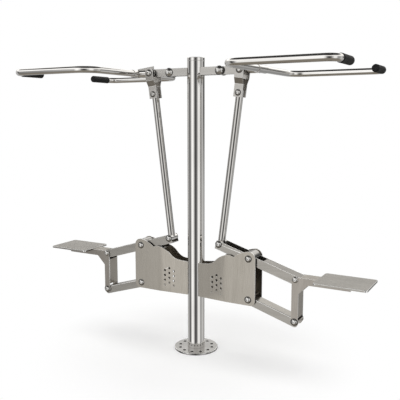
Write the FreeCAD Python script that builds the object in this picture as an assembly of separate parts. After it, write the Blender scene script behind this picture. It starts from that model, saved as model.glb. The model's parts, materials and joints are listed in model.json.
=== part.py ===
"""Twin-station outdoor lat pulldown machine in stainless steel.

A round post on a bolted flange carries two mirrored stations. On each side a
seat hangs on a lever and a parallel guide arm between two wing plates. The
inner end of the lever lifts a rod, and the rod lifts the handle, so the weight
of the person on the seat is the load that the handle pulls against.

Millimetres, +Z up, +Y away from the front, origin on the ground at the post's
axis. The right station (+X) is modelled at rest, and the left one is its mirror.
"""
import FreeCAD, Part
import math
import os

V = FreeCAD.Vector
ORIGIN = V(0, 0, 0)
X_AXIS = V(1, 0, 0)
Y_AXIS = V(0, 1, 0)
Z_AXIS = V(0, 0, 1)

# Post and base
POST_OD = 114.3
POST_WALL = 4.0
TOTAL_HEIGHT = 1962.0
CAP_HEIGHT = 22.0
CAP_EDGE = 4.0
CAP_SPIGOT = 20.0
FLANGE_OD = 297.0
FLANGE_THICK = 12.0
FLANGE_EDGE = 2.0
FLANGE_PCD = 223.0
FLANGE_HOLES = 12
FLANGE_HOLE_D = 22.0
COLLAR_WALL = 2.5
COLLAR_HEIGHT = 38.0

# Clearances
WELD_GAP = 0.05
RUN_CLEAR = 0.05
SIDE_PLAY = 0.5
GUIDE_PIN_CLEAR = 0.3
STOP_GAP = 0.3
HEAD_PLAY = 0.3
SAME = 1e-6

# Lever, its pivots and its rest slope
PIVOT_X = 415.0
LEVER_PIVOT_Z = 688.0
GUIDE_DROP = 269.0
REST_SLOPE = 17.0
LEVER_OUT = 327.0
LEVER_IN = 232.0
LEVER_WIDTH = 84.0
LEVER_WALL = 4.0
LEVER_ABOVE = 21.0
LEVER_BELOW = 37.0
LEVER_TAIL_OUT = 22.0
LEVER_TAIL_IN = 20.0
LID_START = 92.0
LID_DROP = 1.0
LID_THICK = 2.8
FOLD_R = 4.0
HUB_R = 42.0
HUB_STEP = 8.0
END_HUB_R = 17.0
HUB_BORE_R = 14.0
BUSH_LENGTH = 24.0
BUSH_FLANGE_R = 20.0
BUSH_FLANGE = 2.0

# Guide arm
GUIDE_ABOVE = 17.0
GUIDE_BELOW = 36.0
GUIDE_TAIL = 24.0
GUIDE_HUB_R = 21.0
GUIDE_NOSE_R = 22.0

# Wing plates
WING_THICK = 5.0
WING_BEND_X = 255.0
WING_FLARE = 20.0
WING_LOBE_R = 46.0
WING_LOBE_OUT = 3.0
WING_FOOT = 39.0
WING_CORNER_R = 35.0
WING_ROOT_TOP = 606.0
WING_DIP_IN = 300.0
WING_DIP_UP = 11.0
WING_CURVE_IN = 240.0
WING_CURVE_UP = 43.0
WING_CURVE_HOLLOW = 5.5
WING_HUMP_IN = 132.0
WING_HUMP_UP = 9.0
WING_HUMP_BULGE = 12.0
WING_NOTCH_IN = 105.0
WING_LOBE_START = 104.0
WING_LOBE_BULGE = 7.5
WING_HOLE_R = 8.0
WING_HOLE_PITCH = 34.0
WING_HOLE_ROWS = 4
WING_HOLE_COLUMNS = 3
WING_HOLE_X = 150.0
WING_HOLE_Z = 430.0

# Stop under the lever
STOP_REACH = 126.0
STOP_BAR_WIDTH = 40.0
STOP_BAR_THICK = 10.0
STOP_PAD_LENGTH = 34.0
STOP_PAD_WIDTH = 40.0
STOP_PAD_HEIGHT = 18.0

# Seat bracket and seat
LINK_CLEAR = 2.0
LINK_THICK = 5.0
LINK_HALF = 22.0
LINK_FOOT_R = 27.0
LINK_WEB_FROM_GUIDE = 26.0
LINK_INNER_WEB_FROM_GUIDE = 41.0
LINK_WEB_FROM_LEVER = 45.0
SEAT_ARM_RISE = 15.6
SEAT_ARM_DEPTH = 41.0
SEAT_ARM_REACH = 344.0
GUSSET = 62.0
TOP_WEB_START = 30.0
SEAT_START = 136.0
SEAT_LENGTH = 323.0
SEAT_WIDTH = 264.0
SEAT_SHEET = 4.0
SEAT_RIM = 12.0
SEAT_CORNER_R = 16.0
SEAT_EDGE_R = 2.5
SEAT_NOTCH_CLEAR = 1.0

# Handle pivot, arm and eye
HANDLE_PIVOT_X = 187.0
HANDLE_FROM_TOP = 89.0
ARM_HEIGHT = 50.0
ARM_WIDTH = 40.0
ARM_WALL = 4.0
ARM_TAIL = 30.0
CHEEK_THICK = 8.0
PIVOT_TUBE_R = 17.0
PIVOT_BUSH_LENGTH = 17.0
PIVOT_BUSH_FLANGE = 3.7
CHEEK_PLAY = 0.3
EYE_REACH = 149.0
EYE_R = 28.0
EYE_HALF = 24.0
EYE_BORE_R = 20.0
EYE_PLAY = 6.5
EYE_BUSH_FLANGE_R = 25.0
EYE_BUSH_FLANGE = 20.2
EYE_BUSH_LENGTH = 22.0

# Handle tubes
TUBE_OD = 42.4
TUBE_WALL = 3.0
STUB_R = 24.0
STUB_WALL = 4.0
SLEEVE_WALL = 3.8
SLEEVE_HALF = 65.0
RIB_THICK = 6.0
RIB_START = 7.0
RIB_RISE = 48.0
RIB_DROP = 17.0
CROSSBAR_REACH = 273.0
GRIP_REACH = 898.0
HANDLE_HALF = 520.0
BEND_R = 100.0
END_BEND_R = 60.0
GRIP_WALL = 3.8
GRIP_LENGTH = 183.0
GRIP_FROM_BEND = 5.0
GRIP_END_WALL = 6.0
GRIP_NOSE_R = 10.0
GRIP_RIM_R = 2.0

# Rod and fork
ROD_OD = 48.3
ROD_WALL = 3.0
ROD_EYE_R = 24.5
ROD_START = 8.0
ROD_END_WALL = 4.0
CLAMP_FROM_PIN = 141.0
ROD_PAST_CLAMP = 15.0
FORK_HALF = 30.0
FORK_THICK = 6.0
FORK_PLAY = 0.3
FORK_PAST_CLAMP = 28.0
JOGGLE_TOP = 53.5
JOGGLE_HEIGHT = 37.0

# Bolts
BOLT_R = 8.0
BOLT_HEAD_R = 19.0
BOLT_HEAD_HEIGHT = 11.0
CLAMP_BOLT_R = 7.0
CLAMP_HEAD_R = 16.0
CLAMP_HEAD_HEIGHT = 9.0
HANDLE_BOLT_R = 10.0
HANDLE_HEAD_R = 19.0
HANDLE_HEAD_HEIGHT = 13.0
HANDLE_BOSS_R = 25.0
HANDLE_BOSS_HEIGHT = 14.0
HEAD_RIM = 2.0
HEAD_CROWN_R = 4.0
SOCKET_FLATS = 10.0
SOCKET_DEPTH = 5.0

# Places worked out from the sizes above
POST_R = POST_OD / 2
TUBE_R = TUBE_OD / 2
ROD_R = ROD_OD / 2
LEVER_HALF = LEVER_WIDTH / 2
HUB_HALF = LEVER_HALF + HUB_STEP
WING_INNER = HUB_HALF + BUSH_FLANGE + SIDE_PLAY
WING_OUTER = WING_INNER + WING_THICK
LINK_INNER = LEVER_HALF + LINK_CLEAR
LINK_OUTER = LINK_INNER + LINK_THICK
END_HUB_HALF = LINK_INNER - SIDE_PLAY
GUIDE_PIVOT_Z = LEVER_PIVOT_Z - GUIDE_DROP
HANDLE_Z = TOTAL_HEIGHT - HANDLE_FROM_TOP
SLOPE = math.radians(REST_SLOPE)
SEAT_PIN_X = PIVOT_X + LEVER_OUT * math.cos(SLOPE)
SEAT_PIN_Z = LEVER_PIVOT_Z - LEVER_OUT * math.sin(SLOPE)
GUIDE_PIN_Z = SEAT_PIN_Z - GUIDE_DROP
ROD_PIN_X = PIVOT_X - LEVER_IN * math.cos(SLOPE)
ROD_PIN_Z = LEVER_PIVOT_Z + LEVER_IN * math.sin(SLOPE)
FORK_PIN_X = HANDLE_PIVOT_X + EYE_REACH
ROD_LENGTH = math.hypot(FORK_PIN_X - ROD_PIN_X, HANDLE_Z - ROD_PIN_Z)
ROD_TILT = math.degrees(math.atan2(FORK_PIN_X - ROD_PIN_X, HANDLE_Z - ROD_PIN_Z))
CROSSBAR_X = HANDLE_PIVOT_X + CROSSBAR_REACH
GRIP_X = HANDLE_PIVOT_X + GRIP_REACH
GRIP_RIM = HANDLE_HALF - END_BEND_R - GRIP_FROM_BEND
GRIP_FREE_END = GRIP_RIM - GRIP_LENGTH
ARM_HALF = ARM_WIDTH / 2
CHEEK_INNER = ARM_HALF + PIVOT_BUSH_FLANGE + CHEEK_PLAY
CHEEK_OUTER = CHEEK_INNER + CHEEK_THICK
FORK_UPPER = EYE_HALF + EYE_BUSH_FLANGE + FORK_PLAY
FORK_LOWER = ROD_R + WELD_GAP
SLEEVE_R = TUBE_R + WELD_GAP + SLEEVE_WALL
SEAT_UNDER_Z = SEAT_PIN_Z + SEAT_ARM_RISE
SEAT_TOP_Z = SEAT_UNDER_Z + SEAT_SHEET


def box(x0, x1, y0, y1, z0, z1):
    """A block between two corners."""
    return Part.makeBox(x1 - x0, y1 - y0, z1 - z0, V(x0, y0, z0))


def rod_y(radius, y0, y1, x=0.0, z=0.0):
    """A cylinder along Y from y0 to y1."""
    return Part.makeCylinder(radius, y1 - y0, V(x, y0, z), Y_AXIS)


def tube_y(outer, inner, y0, y1, x=0.0, z=0.0):
    """A tube along Y from y0 to y1."""
    return rod_y(outer, y0, y1, x, z).cut(rod_y(inner, y0, y1, x, z))


def prism_y(edges, y0, y1):
    """A closed outline of edges at Y = 0, extruded from y0 to y1."""
    face = Part.Face(Part.Wire(Part.__sortEdges__(edges)))
    solid = face.extrude(V(0, y1 - y0, 0))
    solid.translate(V(0, y0, 0))
    return solid


def outline(points):
    """Straight edges through (x, z) points, closed."""
    corners = [V(x, 0, z) for x, z in points]
    ends = corners[1:] + corners[:1]
    return [Part.LineSegment(a, b).toShape() for a, b in zip(corners, ends)]


def arc(start, middle, end):
    """An arc through three (x, z) points."""
    a, b, c = [V(x, 0, z) for x, z in (start, middle, end)]
    return Part.Arc(a, b, c).toShape()


def bulged(start, end, bulge):
    """An arc that stands off its chord by bulge, to the left of the way it runs."""
    run = (end[0] - start[0], end[1] - start[1])
    length = math.hypot(*run)
    middle = ((start[0] + end[0]) / 2 - run[1] / length * bulge,
              (start[1] + end[1]) / 2 + run[0] / length * bulge)
    return arc(start, middle, end)


def line(start, end):
    """A straight edge between two (x, z) points."""
    return Part.LineSegment(V(start[0], 0, start[1]), V(end[0], 0, end[1])).toShape()


def on_circle(x, z, radius, degrees):
    """The (x, z) point of a circle at an angle from +X towards +Z."""
    turn = math.radians(degrees)
    return (x + radius * math.cos(turn), z + radius * math.sin(turn))


def placed(shape, turn, x, z):
    """Turn about Y (outer end down for a positive angle), then move to (x, z)."""
    shape = shape.copy()
    shape.rotate(ORIGIN, Y_AXIS, turn)
    shape.translate(V(x, 0, z))
    return shape


def both_y(shape):
    """The shape and its mirror in the plane Y = 0, as two solids."""
    return [shape, shape.mirror(ORIGIN, Y_AXIS)]


def group(solids):
    """Separate solids kept together in one node."""
    return Part.makeCompound(solids)


def post_space():
    """The space of the post with the weld gap round it."""
    return Part.makeCylinder(POST_R + WELD_GAP, TOTAL_HEIGHT)


def dome(radius, height, bore=True):
    """A domed bolt head on Z = 0 with a small flat crown and an optional hex socket."""
    turn = math.radians(45)
    middle = V(HEAD_CROWN_R + (radius - HEAD_CROWN_R) * math.cos(turn), 0,
               HEAD_RIM + (height - HEAD_RIM) * math.sin(turn))
    shoulder = V(radius, 0, HEAD_RIM)
    crown = V(HEAD_CROWN_R, 0, height)
    curve = Part.Arc(shoulder, middle, crown).toShape()
    sides = [crown, V(0, 0, height), V(0, 0, 0), V(radius, 0, 0), shoulder]
    lines = [Part.LineSegment(a, b).toShape() for a, b in zip(sides, sides[1:])]
    head = Part.Face(Part.Wire([curve] + lines)).revolve(ORIGIN, Z_AXIS, 360)
    if bore:
        corner = SOCKET_FLATS / math.sqrt(3)
        hexagon = [V(corner * math.cos(math.radians(60 * i)), corner * math.sin(math.radians(60 * i)),
                     height - SOCKET_DEPTH) for i in range(7)]
        head = head.cut(Part.Face(Part.makePolygon(hexagon)).extrude(V(0, 0, height)))
    return head


def bolt(shank_r, head_r, head_height, grip, x, z, bore=True):
    """A through bolt along Y: domed head in front, domed cap nut behind."""
    head = dome(head_r, head_height, bore)
    head.rotate(ORIGIN, X_AXIS, 90)
    head.translate(V(0, -grip, 0))
    nut = dome(head_r, head_height, False)
    nut.rotate(ORIGIN, X_AXIS, -90)
    nut.translate(V(0, grip, 0))
    solid = rod_y(shank_r, -grip, grip).fuse([head, nut]).removeSplitter()
    solid.translate(V(x, 0, z))
    return solid


def channel(x0, x1, half, wall, above, below, open_top):
    """A folded U section along X about the pin line, open on top or below."""
    outer = box(x0, x1, -half, half, -below, above)
    closed_z = -below if open_top else above
    folds = [e for e in outer.Edges if abs(e.BoundBox.ZMin - closed_z) < SAME
             and abs(e.BoundBox.ZMax - closed_z) < SAME and e.BoundBox.XLength > e.BoundBox.YLength]
    outer = outer.makeFillet(FOLD_R, folds)
    floor = -below + wall if open_top else -2 * below
    ceiling = 2 * above if open_top else above - wall
    return outer.cut(box(x0 - wall, x1 + wall, wall - half, half - wall, floor, ceiling))


def bush(outer, inner, length, flange_r, flange, seat):
    """A flanged sleeve that is pushed in from +Y, its flange on Y = seat."""
    sleeve = rod_y(outer, seat - length, seat).fuse(rod_y(flange_r, seat, seat + flange))
    return sleeve.removeSplitter().cut(rod_y(inner, seat - length, seat + flange))


def base_flange():
    """The round foot plate with its ring of bolt holes."""
    plate = Part.makeCylinder(FLANGE_OD / 2, FLANGE_THICK)
    rim = [e for e in plate.Edges if abs(e.BoundBox.ZMin - FLANGE_THICK) < SAME]
    plate = plate.makeChamfer(FLANGE_EDGE, rim)
    for i in range(FLANGE_HOLES):
        turn = 2 * math.pi * (i + 0.5) / FLANGE_HOLES
        place = V(FLANGE_PCD / 2 * math.cos(turn), FLANGE_PCD / 2 * math.sin(turn), 0)
        plate = plate.cut(Part.makeCylinder(FLANGE_HOLE_D / 2, FLANGE_THICK, place))
    return plate


def base_collar():
    """The short ring that covers the weld at the post's foot."""
    outer = Part.makeCylinder(POST_R + WELD_GAP + COLLAR_WALL, COLLAR_HEIGHT, V(0, 0, FLANGE_THICK))
    return outer.cut(post_space())


def post():
    """The round tube, from the flange to the cap."""
    length = TOTAL_HEIGHT - CAP_HEIGHT - FLANGE_THICK
    foot = V(0, 0, FLANGE_THICK)
    outer = Part.makeCylinder(POST_R, length, foot)
    return outer.cut(Part.makeCylinder(POST_R - POST_WALL, length, foot))


def post_cap():
    """The cap on the post, with a spigot that sits in the tube."""
    seat = TOTAL_HEIGHT - CAP_HEIGHT
    disc = Part.makeCylinder(POST_R, CAP_HEIGHT, V(0, 0, seat))
    rim = [e for e in disc.Edges if abs(e.BoundBox.ZMin - TOTAL_HEIGHT) < SAME]
    disc = disc.makeFillet(CAP_EDGE, rim)
    spigot = Part.makeCylinder(POST_R - POST_WALL - WELD_GAP, CAP_SPIGOT, V(0, 0, seat - CAP_SPIGOT))
    return disc.fuse(spigot).removeSplitter()


def wing_sheet(outer_x, bottom, top):
    """The front sheet seen from above: bent once, so that it runs in to the post."""
    plan = [(0.0, WING_FLARE - WING_OUTER), (WING_BEND_X, -WING_OUTER), (outer_x, -WING_OUTER),
            (outer_x, -WING_INNER), (WING_BEND_X, -WING_INNER), (0.0, WING_FLARE - WING_INNER)]
    corners = [V(x, y, bottom) for x, y in plan]
    return Part.Face(Part.makePolygon(corners + corners[:1])).extrude(V(0, 0, top - bottom))


def wing_plate():
    """One laser-cut wing plate in front, with a curved top edge and a perforated field."""
    bottom = GUIDE_PIVOT_Z - WING_FOOT
    lobe_x = PIVOT_X + WING_LOBE_OUT
    outer_x = lobe_x + WING_LOBE_R
    root = (0.0, WING_ROOT_TOP)
    dip = (PIVOT_X - WING_DIP_IN, WING_ROOT_TOP + WING_DIP_UP)
    rise = (PIVOT_X - WING_CURVE_IN, WING_ROOT_TOP + WING_CURVE_UP)
    hump = (PIVOT_X - WING_HUMP_IN, LEVER_PIVOT_Z + WING_HUMP_UP)
    notch = (PIVOT_X - WING_NOTCH_IN, LEVER_PIVOT_Z)
    lobe = on_circle(lobe_x, LEVER_PIVOT_Z, WING_LOBE_R, WING_LOBE_START)
    shoulder = (outer_x, LEVER_PIVOT_Z)
    corner = (outer_x - WING_CORNER_R, bottom + WING_CORNER_R)
    low_side = (outer_x, corner[1])
    low_foot = (corner[0], bottom)
    edges = [
        line(root, dip),
        bulged(dip, rise, -WING_CURVE_HOLLOW),
        bulged(rise, hump, WING_HUMP_BULGE),
        line(hump, notch),
        bulged(notch, lobe, WING_LOBE_BULGE),
        arc(lobe, on_circle(lobe_x, LEVER_PIVOT_Z, WING_LOBE_R, WING_LOBE_START / 2), shoulder),
        line(shoulder, low_side),
        arc(low_side, on_circle(corner[0], corner[1], WING_CORNER_R, -45), low_foot),
        line(low_foot, (0.0, bottom)),
        line((0.0, bottom), root),
    ]
    sheet = wing_sheet(outer_x, bottom, LEVER_PIVOT_Z + WING_LOBE_R)
    plate = prism_y(edges, -WING_OUTER, 0).common(sheet)
    holes = [rod_y(BOLT_R + RUN_CLEAR, -WING_OUTER, -WING_INNER, PIVOT_X, z)
             for z in (LEVER_PIVOT_Z, GUIDE_PIVOT_Z)]
    for column in range(WING_HOLE_COLUMNS):
        stagger = WING_HOLE_PITCH / 2 * (column % 2)
        for row in range(WING_HOLE_ROWS):
            x = WING_HOLE_X + WING_HOLE_PITCH * column
            z = WING_HOLE_Z + WING_HOLE_PITCH * row + stagger
            holes.append(rod_y(WING_HOLE_R, -WING_OUTER, 0, x, z))
    return plate.cut(holes + [post_space()])


def wing_pivot_bolts():
    """The through bolts that the lever and the guide arm turn on."""
    return [bolt(BOLT_R, BOLT_HEAD_R, BOLT_HEAD_HEIGHT, WING_OUTER, PIVOT_X, z)
            for z in (LEVER_PIVOT_Z, GUIDE_PIVOT_Z)]


def arm_cheek():
    """One flat bar in front that carries the handle's pivot."""
    half = ARM_HEIGHT / 2
    bar = box(0, HANDLE_PIVOT_X, -CHEEK_OUTER, -CHEEK_INNER, HANDLE_Z - half, HANDLE_Z + half)
    nose = rod_y(half, -CHEEK_OUTER, -CHEEK_INNER, HANDLE_PIVOT_X, HANDLE_Z)
    hole = rod_y(HANDLE_BOLT_R + RUN_CLEAR, -CHEEK_OUTER, -CHEEK_INNER, HANDLE_PIVOT_X, HANDLE_Z)
    return bar.fuse(nose).removeSplitter().cut([hole, post_space()])


def handle_pivot_bolt():
    """The through bolt of the handle's pivot, with a domed boss and a smaller cap at each end."""
    base = bolt(HANDLE_BOLT_R, HANDLE_BOSS_R, HANDLE_BOSS_HEIGHT, CHEEK_OUTER, HANDLE_PIVOT_X, HANDLE_Z, False)
    caps = bolt(HANDLE_BOLT_R, HANDLE_HEAD_R, HANDLE_HEAD_HEIGHT, CHEEK_OUTER + HANDLE_BOSS_HEIGHT - HEAD_RIM,
                HANDLE_PIVOT_X, HANDLE_Z, False)
    return base.fuse(caps).removeSplitter()


def stop_bar():
    """The cross bar between the wing plates under the lever's inner half."""
    top = -LEVER_BELOW - STOP_GAP - STOP_PAD_HEIGHT
    half = STOP_BAR_WIDTH / 2
    bar = box(-STOP_REACH - half, half - STOP_REACH, -WING_INNER, WING_INNER, top - STOP_BAR_THICK, top)
    return placed(bar, REST_SLOPE, PIVOT_X, LEVER_PIVOT_Z)


def stop_pad():
    """The rubber block on the cross bar that the lever comes to rest on."""
    top = -LEVER_BELOW - STOP_GAP
    half = STOP_PAD_LENGTH / 2
    side = STOP_PAD_WIDTH / 2
    pad = box(-STOP_REACH - half, half - STOP_REACH, -side, side, top - STOP_PAD_HEIGHT, top)
    return placed(pad, REST_SLOPE, PIVOT_X, LEVER_PIVOT_Z)


def lever_channel():
    """The upper lever: an open channel cut by the pivot barrel, with a lid let in its outer length."""
    body = channel(-LEVER_IN - LEVER_TAIL_IN, LEVER_OUT + LEVER_TAIL_OUT, LEVER_HALF, LEVER_WALL,
                   LEVER_ABOVE, LEVER_BELOW, True)
    side = LEVER_HALF - LEVER_WALL
    lid_top = LEVER_ABOVE - LID_DROP
    lid = box(LID_START, LEVER_OUT + LEVER_TAIL_OUT, -side, side, lid_top - LID_THICK, lid_top)
    body = body.fuse(lid).removeSplitter()
    cuts = [
        rod_y(HUB_R + WELD_GAP, -LEVER_HALF, LEVER_HALF),
        rod_y(END_HUB_R + WELD_GAP, -LEVER_HALF, LEVER_HALF, LEVER_OUT),
        rod_y(BOLT_R + RUN_CLEAR, -LEVER_HALF, LEVER_HALF, -LEVER_IN),
    ]
    return placed(body.cut(cuts), REST_SLOPE, PIVOT_X, LEVER_PIVOT_Z)


def lever_hubs():
    """The cross tubes welded in the lever at its pivot and its seat end."""
    pivot = tube_y(HUB_R, HUB_BORE_R, -HUB_HALF, HUB_HALF)
    end = tube_y(END_HUB_R, BOLT_R + RUN_CLEAR, -END_HUB_HALF, END_HUB_HALF, LEVER_OUT)
    return group([placed(hub, REST_SLOPE, PIVOT_X, LEVER_PIVOT_Z) for hub in (pivot, end)])


def pivot_bushes(z):
    """The two flanged sleeves in a hub at the wing plates."""
    sleeve = bush(HUB_BORE_R - WELD_GAP, BOLT_R + RUN_CLEAR, BUSH_LENGTH, BUSH_FLANGE_R, BUSH_FLANGE, HUB_HALF)
    return group([placed(one, 0, PIVOT_X, z) for one in both_y(sleeve)])


def lever_bolts():
    """The through bolts at the two ends of the lever."""
    seat = bolt(BOLT_R, BOLT_HEAD_R, BOLT_HEAD_HEIGHT, LINK_OUTER + HEAD_PLAY, SEAT_PIN_X, SEAT_PIN_Z)
    rod = bolt(BOLT_R, BOLT_HEAD_R, BOLT_HEAD_HEIGHT, LEVER_HALF, ROD_PIN_X, ROD_PIN_Z)
    return group([seat, rod])


def guide_channel():
    """The lower parallel arm: a channel open below, with a rounded nose."""
    body = channel(0, LEVER_OUT + GUIDE_TAIL, LEVER_HALF, LEVER_WALL, GUIDE_ABOVE, GUIDE_BELOW, False)
    end = LEVER_OUT + GUIDE_TAIL
    corner = box(end - GUIDE_NOSE_R, end, -LEVER_HALF, LEVER_HALF, -GUIDE_BELOW, GUIDE_NOSE_R - GUIDE_BELOW)
    corner = corner.cut(rod_y(GUIDE_NOSE_R, -LEVER_HALF, LEVER_HALF, end - GUIDE_NOSE_R,
                              GUIDE_NOSE_R - GUIDE_BELOW))
    cuts = [
        corner,
        rod_y(GUIDE_HUB_R + WELD_GAP, -LEVER_HALF, LEVER_HALF),
        rod_y(END_HUB_R + WELD_GAP, -LEVER_HALF, LEVER_HALF, LEVER_OUT),
    ]
    return placed(body.cut(cuts), REST_SLOPE, PIVOT_X, GUIDE_PIVOT_Z)


def guide_hubs():
    """The cross tubes welded in the guide arm at its pivot and its seat end."""
    pivot = tube_y(GUIDE_HUB_R, HUB_BORE_R, -HUB_HALF, HUB_HALF)
    end = tube_y(END_HUB_R, BOLT_R + GUIDE_PIN_CLEAR, -END_HUB_HALF, END_HUB_HALF, LEVER_OUT)
    return group([placed(hub, REST_SLOPE, PIVOT_X, GUIDE_PIVOT_Z) for hub in (pivot, end)])


def seat_bolt():
    """The through bolt that joins the seat bracket's foot to the guide arm."""
    return bolt(BOLT_R, BOLT_HEAD_R, BOLT_HEAD_HEIGHT, LINK_OUTER, SEAT_PIN_X, GUIDE_PIN_Z)


def seat_bracket_plate():
    """One side plate in front: the upright leg, the seat arm and the gusset between them."""
    y0, y1 = -LINK_OUTER, -LINK_INNER
    arm_end = SEAT_PIN_X + SEAT_ARM_REACH
    arm_low = SEAT_UNDER_Z - SEAT_ARM_DEPTH
    edge = SEAT_PIN_X + LINK_HALF
    leg = box(SEAT_PIN_X - LINK_HALF, edge, y0, y1, GUIDE_PIN_Z, SEAT_PIN_Z)
    foot = rod_y(LINK_FOOT_R, y0, y1, SEAT_PIN_X, GUIDE_PIN_Z)
    head = rod_y(LINK_HALF, y0, y1, SEAT_PIN_X, SEAT_PIN_Z)
    head = head.common(box(SEAT_PIN_X - LINK_HALF, edge, y0, y1, arm_low, SEAT_UNDER_Z))
    arm = box(SEAT_PIN_X, arm_end, y0, y1, arm_low, SEAT_UNDER_Z)
    gusset = prism_y(outline([(edge, arm_low - GUSSET), (edge + GUSSET, arm_low), (edge, arm_low)]), y0, y1)
    holes = [rod_y(BOLT_R + RUN_CLEAR, y0, y1, SEAT_PIN_X, z) for z in (SEAT_PIN_Z, GUIDE_PIN_Z)]
    return leg.fuse([foot, head, arm, gusset]).removeSplitter().cut(holes)


def seat_bracket_webs():
    """The plates welded between the side plates: two up the leg, one under the seat."""
    top = SEAT_PIN_Z - LINK_WEB_FROM_LEVER
    uprights = [box(x, x + LINK_THICK, -LINK_INNER, LINK_INNER, GUIDE_PIN_Z + foot, top)
                for x, foot in ((SEAT_PIN_X - LINK_HALF, LINK_INNER_WEB_FROM_GUIDE),
                                (SEAT_PIN_X + LINK_HALF - LINK_THICK, LINK_WEB_FROM_GUIDE))]
    flat = box(SEAT_PIN_X + TOP_WEB_START, SEAT_PIN_X + SEAT_ARM_REACH, -LINK_INNER, LINK_INNER,
               SEAT_UNDER_Z - LINK_THICK, SEAT_UNDER_Z)
    return group(uprights + [flat])


def seat_plate():
    """The seat: a pressed sheet with a folded rim, notched where the arms run in."""
    x0 = SEAT_PIN_X + SEAT_START
    x1 = x0 + SEAT_LENGTH
    half = SEAT_WIDTH / 2
    rim_z = SEAT_TOP_Z - SEAT_RIM
    outer = box(x0, x1, -half, half, rim_z, SEAT_TOP_Z)
    outer = outer.makeFillet(SEAT_CORNER_R, [e for e in outer.Edges if e.BoundBox.ZLength > SEAT_RIM / 2])
    top = [e for e in outer.Edges if abs(e.BoundBox.ZMin - SEAT_TOP_Z) < SAME]
    outer = outer.makeFillet(SEAT_EDGE_R, top)
    inner = box(x0 + SEAT_SHEET, x1 - SEAT_SHEET, SEAT_SHEET - half, half - SEAT_SHEET, rim_z, SEAT_UNDER_Z)
    inner = inner.makeFillet(SEAT_CORNER_R - SEAT_SHEET,
                             [e for e in inner.Edges if e.BoundBox.ZLength > SEAT_RIM / 2])
    side = LINK_OUTER + SEAT_NOTCH_CLEAR
    notch = box(x0, x0 + SEAT_CORNER_R, -side, side, rim_z, SEAT_UNDER_Z)
    return outer.cut([inner, notch])


def rod_local(shape):
    """Place a shape that is drawn on the rod's own axis, from its foot pin upwards."""
    return placed(shape, ROD_TILT, ROD_PIN_X, ROD_PIN_Z)


def rod_tube():
    """The rod: a round tube coped over its foot eye and closed at the top."""
    clamp = ROD_LENGTH - CLAMP_FROM_PIN
    top = clamp + ROD_PAST_CLAMP
    tube = Part.makeCylinder(ROD_R, top - ROD_START, V(0, 0, ROD_START))
    bore = Part.makeCylinder(ROD_R - ROD_WALL, top - ROD_START - ROD_END_WALL, V(0, 0, ROD_START))
    cuts = [
        bore,
        rod_y(ROD_EYE_R + WELD_GAP, -ROD_R, ROD_R),
        rod_y(CLAMP_BOLT_R + RUN_CLEAR, -ROD_R, ROD_R, 0, clamp),
    ]
    return rod_local(tube.cut(cuts))


def rod_foot():
    """The eye across the rod's foot, which turns on the lever's inner bolt."""
    half = LEVER_HALF - LEVER_WALL - SIDE_PLAY
    return rod_local(tube_y(ROD_EYE_R, BOLT_R + RUN_CLEAR, -half, half))


def rod_fork_plate():
    """One joggled fork plate in front: it clamps the rod and spreads round the handle's eye."""
    clamp = ROD_LENGTH - CLAMP_FROM_PIN
    low = clamp - FORK_PAST_CLAMP
    bend_top = ROD_LENGTH - JOGGLE_TOP
    bend_low = bend_top - JOGGLE_HEIGHT
    top = ROD_LENGTH + FORK_HALF
    slant = FORK_THICK / 2
    inner = [(-FORK_LOWER, low), (-FORK_LOWER, bend_low), (-FORK_UPPER, bend_top), (-FORK_UPPER, top)]
    outer = [(y - FORK_THICK, z) for y, z in inner]
    outer[1] = (outer[1][0], bend_low + slant)
    outer[2] = (outer[2][0], bend_top + slant)
    corners = [V(-FORK_HALF, y, z) for y, z in inner + outer[::-1]]
    strip = Part.Face(Part.makePolygon(corners + corners[:1])).extrude(V(2 * FORK_HALF, 0, 0))
    reach = FORK_UPPER + FORK_THICK
    shape = box(-FORK_HALF, FORK_HALF, -reach, 0, low, ROD_LENGTH).fuse(
        rod_y(FORK_HALF, -reach, 0, 0, ROD_LENGTH))
    holes = [rod_y(CLAMP_BOLT_R + RUN_CLEAR, -reach, 0, 0, clamp),
             rod_y(BOLT_R + RUN_CLEAR, -reach, 0, 0, ROD_LENGTH)]
    return rod_local(strip.common(shape).cut(holes))


def rod_fork_bolts():
    """The clamp bolt through the rod and the pin through the handle's eye."""
    clamp = bolt(CLAMP_BOLT_R, CLAMP_HEAD_R, CLAMP_HEAD_HEIGHT, FORK_LOWER + FORK_THICK, 0,
                 ROD_LENGTH - CLAMP_FROM_PIN)
    pin = bolt(BOLT_R, BOLT_HEAD_R, BOLT_HEAD_HEIGHT, FORK_UPPER + FORK_THICK, 0, ROD_LENGTH)
    return group([rod_local(clamp), rod_local(pin)])


def handle_arm():
    """The box arm from the handle's pivot to its eye."""
    half = ARM_HEIGHT / 2
    x0 = HANDLE_PIVOT_X - ARM_TAIL
    outer = box(x0, FORK_PIN_X, -ARM_HALF, ARM_HALF, HANDLE_Z - half, HANDLE_Z + half)
    inside = box(x0 + ARM_WALL, FORK_PIN_X, ARM_WALL - ARM_HALF, ARM_HALF - ARM_WALL,
                 HANDLE_Z - half + ARM_WALL, HANDLE_Z + half - ARM_WALL)
    cuts = [
        inside,
        rod_y(PIVOT_TUBE_R + WELD_GAP, -ARM_HALF, ARM_HALF, HANDLE_PIVOT_X, HANDLE_Z),
        rod_y(EYE_R + WELD_GAP, -ARM_HALF, ARM_HALF, FORK_PIN_X, HANDLE_Z),
    ]
    return outer.cut(cuts)


def handle_hubs():
    """The pivot tube through the box arm and the eye at its end."""
    pivot = tube_y(PIVOT_TUBE_R, HUB_BORE_R, -ARM_HALF, ARM_HALF, HANDLE_PIVOT_X, HANDLE_Z)
    eye = tube_y(EYE_R, EYE_BORE_R, -EYE_HALF, EYE_HALF, FORK_PIN_X, HANDLE_Z)
    return group([pivot, eye])


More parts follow.
